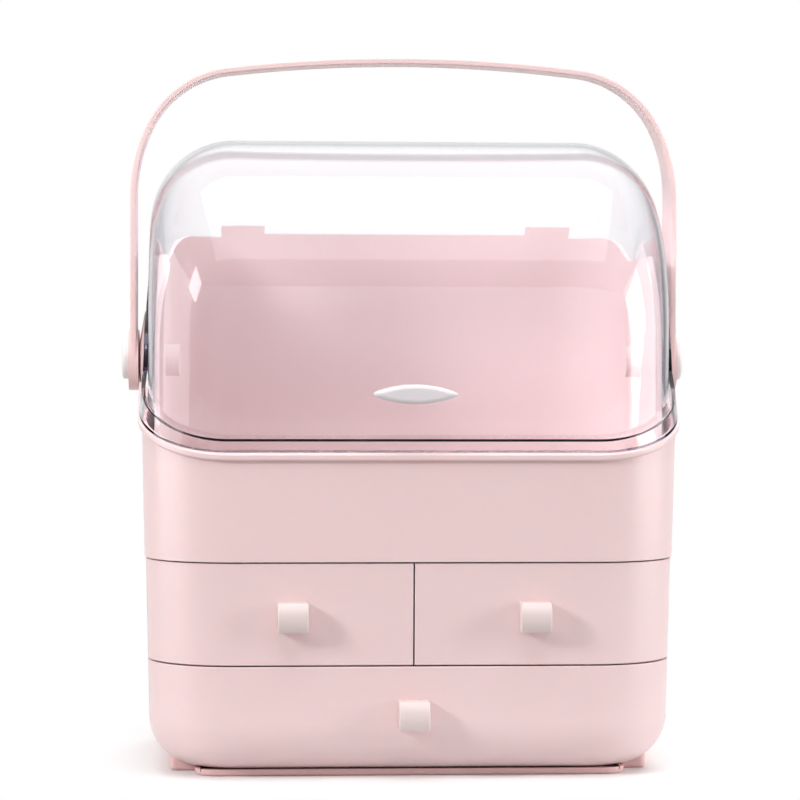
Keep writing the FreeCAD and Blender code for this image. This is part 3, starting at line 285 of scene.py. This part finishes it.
# Where the object mirrors it, the room is pale behind the object and overhead, and dark in
# front. Through the lid it is pale on all four sides too, and dark between them.
sides = tree.nodes.new("ShaderNodeSeparateXYZ")
join(tree, on_vector(tree, "ABSOLUTE", place.outputs["Generated"]), sides.inputs["Vector"])
squarely = calculate(tree, "MAXIMUM", sides.outputs["X"], sides.outputs["Y"])
path = tree.nodes.new("ShaderNodeLightPath")
facing = add(tree, "ShaderNodeMix", {"data_type": "FLOAT"})
join(tree, path.outputs["Is Transmission Ray"], facing.inputs["Factor"])
join(tree, way.outputs["Y"], facing.inputs["A"])
join(tree, squarely, facing.inputs["B"])
room = add(tree, "ShaderNodeMix", {"data_type": "RGBA", "blend_type": "LIGHTEN"})
room.inputs["Factor"].default_value = 1
join(tree, ramp(tree, facing.outputs["Result"], ROOM_SIDES), room.inputs["A"])
join(tree, ramp(tree, way.outputs["Z"], ROOM_CEILING), room.inputs["B"])
backdrop = add(tree, "ShaderNodeBackground", Strength=ROOM_STRENGTH)
join(tree, room.outputs["Result"], backdrop.inputs["Color"])
lit = blend(tree, looked_at(tree), ambient.outputs["Background"], backdrop.outputs["Background"])
# Seen directly, the backdrop is white all round.
plain = add(tree, "ShaderNodeBackground", Color=WHITE, Strength=1.0)
shown = blend(tree, path.outputs["Is Camera Ray"], lit, plain.outputs["Background"])
join(tree, shown, output.inputs["Surface"])


# ---------------------------------------------------------------- lamps

def softbox(name, place, target, size, power, ignored_by):
    """An area lamp aimed at a point, and the kinds of ray that don't see it."""
    data = bpy.data.lights.new(name, "AREA")
    data.shape = "RECTANGLE"
    data.size, data.size_y = size
    data.energy = power
    lamp = bpy.data.objects.new(name, data)
    scene.collection.objects.link(lamp)
    lamp.location = place
    aim = Vector(target) - Vector(place)
    lamp.rotation_euler = aim.to_track_quat("-Z", "Z").to_euler()
    for ray in ignored_by:
        setattr(lamp, "visible_" + ray, False)


BODY = (0, 0, 0.15)
DOME = (0, -0.1, 0.3)

# These light the object and aren't mirrored in it.
softbox("key_left", (-1.26, -0.78, 0.8), BODY, (0.35, 0.35), 13.5, ["glossy"])
softbox("fill_right", (1.3, -0.45, 0.45), BODY, (0.6, 0.6), 9.5, ["glossy"])
softbox("overhead", (0, -0.45, 1.3), (0, -0.4, 0), (1.4, 1.4), 14, ["glossy"])
softbox("back_wash", (0.4, 1.5, 0.7), (0, 0, 0.2), (0.9, 0.9), 14, ["glossy", "transmission"])
# These are mirrored in it and don't light it.
softbox("card_left", (-1.37, -0.22, 0.35), DOME, (1.0, 1.1), 8.5, ["diffuse", "transmission"])
softbox("card_right", (1.38, -0.32, 0.4), DOME, (1.0, 1.2), 10, ["diffuse", "transmission"])


# ---------------------------------------------------------------- camera

CAMERA_PLACE = (-0.09632, -1.61036, 0.24018)
YAW = radians(3.37)
PITCH = radians(-1.47)
ROLL = radians(0.17)
LENS_PIXELS = 2859.17
FRAME_PIXELS = 800

ahead = Vector((sin(YAW) * cos(PITCH), cos(YAW) * cos(PITCH), sin(PITCH)))
level = Vector((cos(YAW), -sin(YAW), 0))
upright = level.cross(ahead)
right = cos(ROLL) * level + sin(ROLL) * upright
up = -sin(ROLL) * level + cos(ROLL) * upright
lens = bpy.data.cameras.new("camera")
lens.sensor_fit = "HORIZONTAL"
lens.sensor_width = 36
lens.lens = LENS_PIXELS / FRAME_PIXELS * lens.sensor_width
lens.clip_start = 0.05
lens.clip_end = 50
camera = bpy.data.objects.new("camera", lens)
scene.collection.objects.link(camera)
turn = Matrix((right, up, -ahead)).transposed().to_4x4()
camera.matrix_world = Matrix.Translation(CAMERA_PLACE) @ turn
scene.camera = camera

scene.view_settings.view_transform = "Standard"

bpy.context.view_layer.update()
